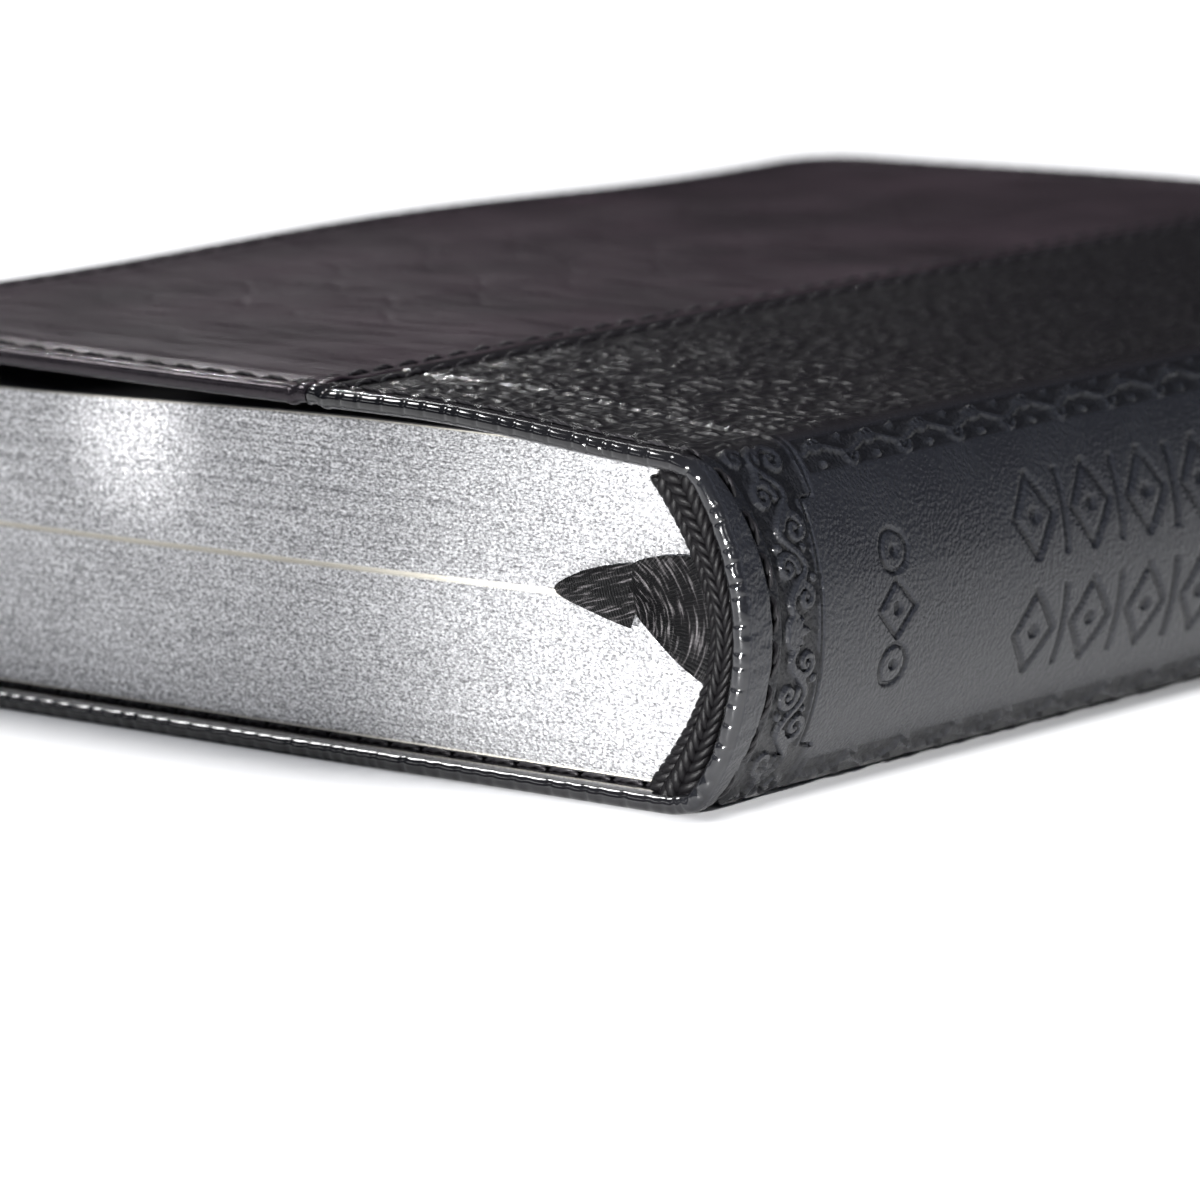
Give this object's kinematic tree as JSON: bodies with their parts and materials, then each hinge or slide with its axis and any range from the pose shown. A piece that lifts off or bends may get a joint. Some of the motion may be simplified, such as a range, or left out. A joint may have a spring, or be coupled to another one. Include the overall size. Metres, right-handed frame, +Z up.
{
  "type": "flexible-cover bible",
  "caption": "Closed rounded-back book with a limp stitched leather cover, silvered page edges, end bands and a marker ribbon; covers, text block and ribbon move.",
  "frame": {"origin": "on the resting face, under the middle of the closed covers", "axes": "+X from the fore-edge to the spine, +Y from the head to the tail, +Z up through the front cover"},
  "size_m": [0.1186, 0.1877, 0.032],
  "materials": {
    "plain_leather": "smooth satin",
    "embossed_leather": "embossed, glossy",
    "spine_leather": "fine grain, satin",
    "board": "matte",
    "endpaper": "matte black, coated",
    "cover_thread": "twisted, waxed",
    "spine_card": "matte",
    "mull_cloth": "open weave, glued",
    "sewing_thread": "waxed",
    "end_band": "braided",
    "silvered_pages": "silvered edges, satin",
    "leaf_paper": "thin, matte",
    "ribbon_satin": "satin"
  },
  "bodies": {
    "rear_half": {"rear_section_1": "silvered_pages", "rear_section_2": "silvered_pages", "rear_section_3": "silvered_pages", "rear_section_4": "silvered_pages", "rear_section_5": "silvered_pages", "rear_section_6": "silvered_pages", "rear_flyleaf": "endpaper", "rear_spine_leather": "spine_leather", "rear_spine_stitching": "cover_thread", "rear_spine_inlay": "spine_card", "rear_mull": "mull_cloth", "rear_sewing": "sewing_thread", "rear_head_band": "end_band", "rear_tail_band": "end_band", "ribbon_loop": "ribbon_satin"},
    "front_half": {"front_section_1": "silvered_pages", "front_section_2": "silvered_pages", "front_section_3": "silvered_pages", "front_section_4": "silvered_pages", "front_section_5": "silvered_pages", "front_section_6": "silvered_pages", "front_spine_leather": "spine_leather", "front_spine_stitching": "cover_thread", "front_spine_inlay": "spine_card", "front_mull": "mull_cloth", "front_sewing": "sewing_thread", "front_head_band": "end_band", "front_tail_band": "end_band"},
    "front_cover": {"front_leather_plain": "plain_leather", "front_leather_embossed": "embossed_leather", "front_board": "board", "front_pastedown": "endpaper", "front_border_stitching": "cover_thread", "front_seam_stitching": "cover_thread"},
    "back_cover": {"back_leather": "embossed_leather", "back_board": "board", "back_pastedown": "endpaper", "back_border_stitching": "cover_thread"},
    "front_flyleaf": {"front_flyleaf": "endpaper"},
    "rear_opening_leaf": {"rear_opening_leaf": "leaf_paper"},
    "front_opening_leaf": {"front_opening_leaf": "leaf_paper"},
    "ribbon_strip": {"ribbon_strip": "ribbon_satin"},
    "ribbon_tail": {"ribbon_tail": "ribbon_satin"}
  },
  "joints": [
    {"name": "middle_opening", "type": "hinge", "parent": "rear_half", "child": "front_half", "pos_m": [0.05925, 0, 0.016], "axis": [0, 1, 0], "range_deg": [0, 178]},
    {"name": "front_cover_hinge", "type": "hinge", "parent": "front_half", "child": "front_cover", "pos_m": [0.05325, 0, 0.032], "axis": [0, 1, 0], "range_deg": [0, 178]},
    {"name": "back_cover_hinge", "type": "hinge", "parent": "rear_half", "child": "back_cover", "pos_m": [0.05325, 0, 0], "axis": [0, 1, 0], "range_deg": [-178, 0]},
    {"name": "ribbon_pull", "type": "slide", "parent": "rear_half", "child": "ribbon_strip", "axis": [0, 1, 0], "range_m": [0, 0.01]},
    {"name": "ribbon_tail_swing", "type": "hinge", "parent": "ribbon_strip", "child": "ribbon_tail", "pos_m": [0.04225, 0.08305, 0.01587], "axis": [1, 0, 0], "range_deg": [0, 75]},
    {"name": "front_flyleaf_turn", "type": "hinge", "parent": "front_half", "child": "front_flyleaf", "pos_m": [0.0528, 0, 0.0299], "axis": [0, 1, 0], "range_deg": [0, 45]},
    {"name": "rear_leaf_turn", "type": "hinge", "parent": "rear_half", "child": "rear_opening_leaf", "pos_m": [0.05925, 0, 0.016], "axis": [0, 1, 0], "range_deg": [0, 22]},
    {"name": "front_leaf_turn", "type": "hinge", "parent": "rear_half", "child": "front_opening_leaf", "pos_m": [0.05925, 0, 0.016], "axis": [0, 1, 0], "range_deg": [0, 154]}
  ],
  "couplings": [
    {"joint": "front_flyleaf_turn", "follows": "front_cover_hinge", "ratio": 0.25},
    {"joint": "rear_leaf_turn", "follows": "middle_opening", "ratio": 0.12},
    {"joint": "front_leaf_turn", "follows": "middle_opening", "ratio": 0.86}
  ]
}
